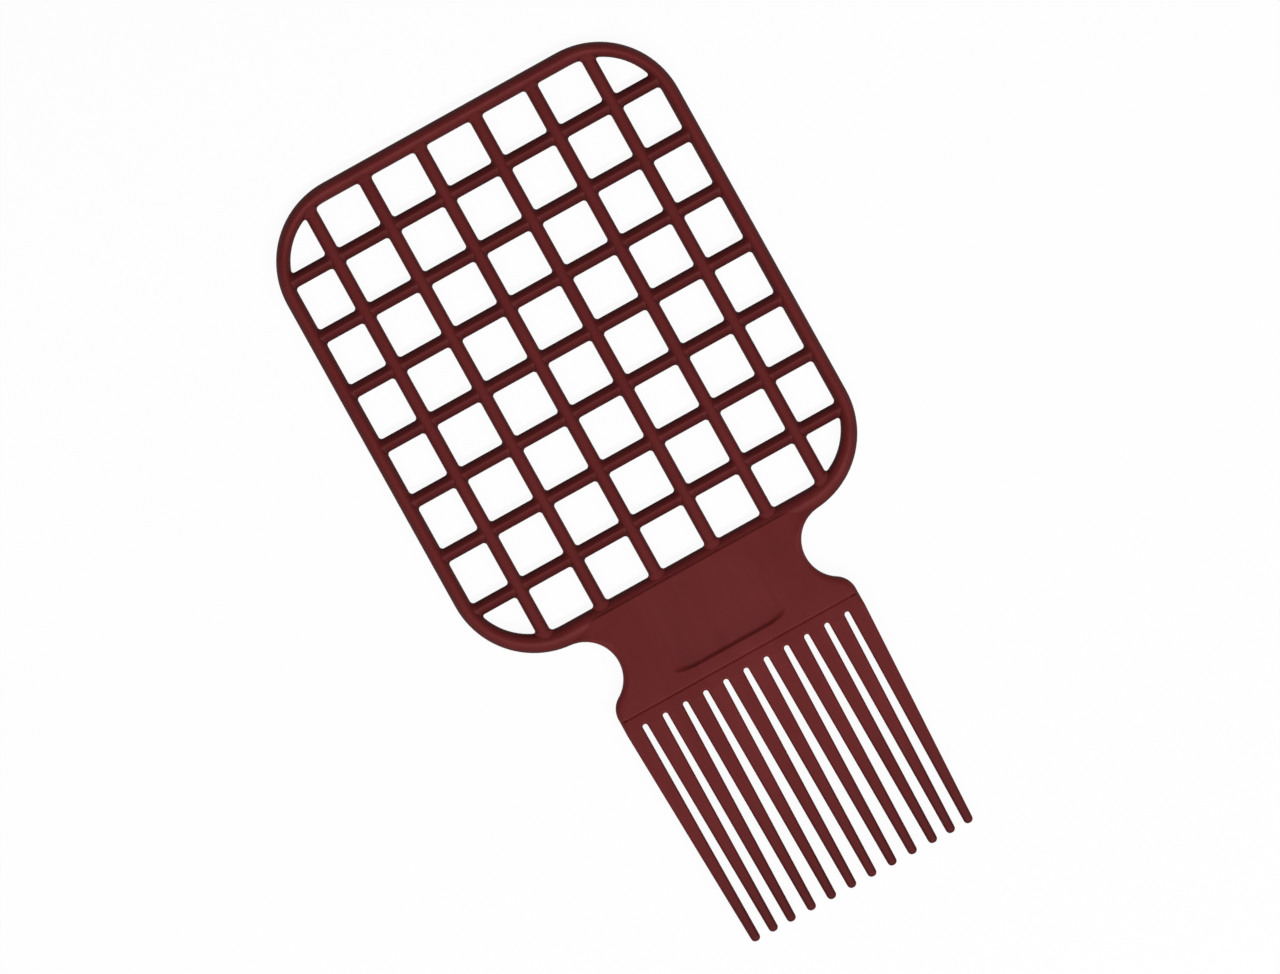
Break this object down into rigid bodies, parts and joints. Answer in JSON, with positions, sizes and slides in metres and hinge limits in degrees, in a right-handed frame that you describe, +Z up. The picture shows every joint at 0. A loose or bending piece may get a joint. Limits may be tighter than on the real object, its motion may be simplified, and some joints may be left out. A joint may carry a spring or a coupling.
{
  "type": "afro pick",
  "caption": "Flat moulded plastic hair pick with an open lattice handle, a notched neck with a bare thumb rest and a row of long tapered teeth.",
  "frame": {"origin": "under the middle of the pick's outline, on the surface that it lies on", "axes": "+X across the pick, +Y along it towards the handle with the teeth towards -Y, +Z up out of the front with the thumb rest"},
  "size_m": [0.0922, 0.18, 0.0042],
  "materials": {
    "pick_plastic": "maroon moulded plastic, satin to semi-gloss, with a faint mould texture"
  },
  "bodies": {
    "root": {"handle_rim": "pick_plastic", "long_bar_1": "pick_plastic", "long_bar_2": "pick_plastic", "long_bar_3": "pick_plastic", "long_bar_4": "pick_plastic", "long_bar_5": "pick_plastic", "long_bar_6": "pick_plastic", "cross_bar_1": "pick_plastic", "cross_bar_2": "pick_plastic", "cross_bar_3": "pick_plastic", "cross_bar_4": "pick_plastic", "cross_bar_5": "pick_plastic", "cross_bar_6": "pick_plastic", "cross_bar_7": "pick_plastic", "neck_plate": "pick_plastic", "tooth_bar": "pick_plastic", "tooth_01": "pick_plastic", "tooth_02": "pick_plastic", "tooth_03": "pick_plastic", "tooth_04": "pick_plastic", "tooth_05": "pick_plastic", "tooth_06": "pick_plastic", "tooth_07": "pick_plastic", "tooth_08": "pick_plastic", "tooth_09": "pick_plastic", "tooth_10": "pick_plastic", "tooth_11": "pick_plastic", "tooth_12": "pick_plastic"}
  },
  "joints": []
}
